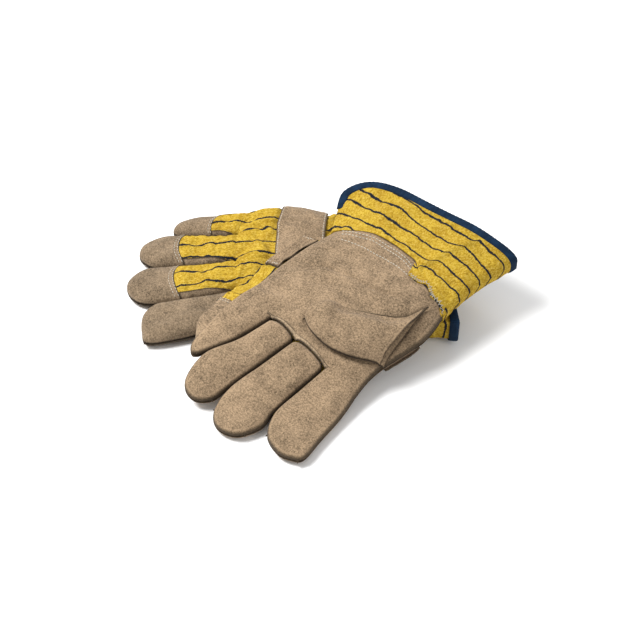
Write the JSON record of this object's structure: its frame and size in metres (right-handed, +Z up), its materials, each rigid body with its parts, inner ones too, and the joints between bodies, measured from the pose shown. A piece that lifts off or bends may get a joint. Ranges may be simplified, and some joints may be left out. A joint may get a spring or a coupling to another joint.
{
  "type": "pair of work gloves",
  "caption": "Pair of split-leather work gloves with striped canvas backs and gauntlet cuffs, the left lying palm up across the right; fingers and thumb hinge.",
  "frame": {"origin": "middle of the pair's outline in plan, on the surface that the right glove lies on", "axes": "+X to the right along the right glove, from its fingers to its cuff; +Y away from the viewer, towards the little finger of the right glove; +Z up"},
  "size_m": [0.2916, 0.2601, 0.0588],
  "materials": {
    "split_leather": "suede",
    "back_canvas": "woven canvas, navy stripes",
    "cuff_canvas": "stiffened woven canvas, navy stripes",
    "binding_tape": "woven tape",
    "cotton_lining": "cotton drill",
    "elastic_tape": "braided"
  },
  "bodies": {
    "right_glove": {"right_palm": "split_leather", "right_back": "back_canvas", "right_knuckle_strap": "split_leather", "right_wrist_elastic": "elastic_tape", "right_palm_lining": "cotton_lining", "right_cuff": "cuff_canvas", "right_cuff_binding": "binding_tape", "right_index_front": "split_leather", "right_index_lining": "cotton_lining", "right_index_back": "split_leather", "right_thumb_front": "split_leather", "right_thumb_back": "split_leather", "right_thumb_lining": "cotton_lining"},
    "left_hand": {"left_palm": "split_leather", "left_back": "back_canvas", "left_knuckle_strap": "split_leather", "left_wrist_elastic": "elastic_tape", "left_palm_lining": "cotton_lining", "left_cuff": "cuff_canvas", "left_cuff_binding": "binding_tape"},
    "left_index": {"left_index_front": "split_leather", "left_index_lining": "cotton_lining", "left_index_back": "split_leather"},
    "left_middle": {"left_middle_front": "split_leather", "left_middle_lining": "cotton_lining", "left_middle_back": "back_canvas", "left_middle_tip": "split_leather"},
    "left_ring": {"left_ring_front": "split_leather", "left_ring_lining": "cotton_lining", "left_ring_back": "back_canvas", "left_ring_tip": "split_leather"},
    "left_little": {"left_little_front": "split_leather", "left_little_lining": "cotton_lining", "left_little_back": "back_canvas", "left_little_tip": "split_leather"},
    "left_thumb": {"left_thumb_front": "split_leather", "left_thumb_back": "split_leather", "left_thumb_lining": "cotton_lining"},
    "right_middle": {"right_middle_front": "split_leather", "right_middle_lining": "cotton_lining", "right_middle_back": "back_canvas", "right_middle_tip": "split_leather"},
    "right_ring": {"right_ring_front": "split_leather", "right_ring_lining": "cotton_lining", "right_ring_back": "back_canvas", "right_ring_tip": "split_leather"},
    "right_little": {"right_little_front": "split_leather", "right_little_lining": "cotton_lining", "right_little_back": "back_canvas", "right_little_tip": "split_leather"}
  },
  "joints": [
    {"name": "left_glove_lift", "type": "slide", "parent": "right_glove", "child": "left_hand", "axis": [0, 0, 1], "range_m": [0, 0.12]},
    {"name": "left_index_curl", "type": "hinge", "parent": "left_hand", "child": "left_index", "pos_m": [0.01486, -0.06886, 0.0228], "axis": [-0.6977, 0.6977, 0.1628], "range_deg": [0, 75]},
    {"name": "left_middle_curl", "type": "hinge", "parent": "left_hand", "child": "left_middle", "pos_m": [-0.00706, -0.04694, 0.02791], "axis": [-0.6977, 0.6977, 0.1628], "range_deg": [0, 75]},
    {"name": "left_ring_curl", "type": "hinge", "parent": "left_hand", "child": "left_ring", "pos_m": [-0.0258, -0.0282, 0.03229], "axis": [-0.6977, 0.6977, 0.1628], "range_deg": [0, 75]},
    {"name": "left_little_curl", "type": "hinge", "parent": "left_hand", "child": "left_little", "pos_m": [-0.04525, -0.00876, 0.03683], "axis": [-0.6977, 0.6977, 0.1628], "range_deg": [0, 75]},
    {"name": "left_thumb_fold", "type": "hinge", "parent": "left_hand", "child": "left_thumb", "pos_m": [0.07814, -0.02184, 0.044], "axis": [0.5933, 0.6923, 0.4108], "range_deg": [0, 95]},
    {"name": "right_middle_lift", "type": "hinge", "parent": "right_glove", "child": "right_middle", "pos_m": [-0.0625, 0.04655, 0.017], "axis": [0, 1, 0], "range_deg": [0, 35]},
    {"name": "right_ring_lift", "type": "hinge", "parent": "right_glove", "child": "right_ring", "pos_m": [-0.0625, 0.07755, 0.017], "axis": [0, 1, 0], "range_deg": [0, 35]},
    {"name": "right_little_lift", "type": "hinge", "parent": "right_glove", "child": "right_little", "pos_m": [-0.0625, 0.10555, 0.017], "axis": [0, 1, 0], "range_deg": [0, 35]}
  ]
}
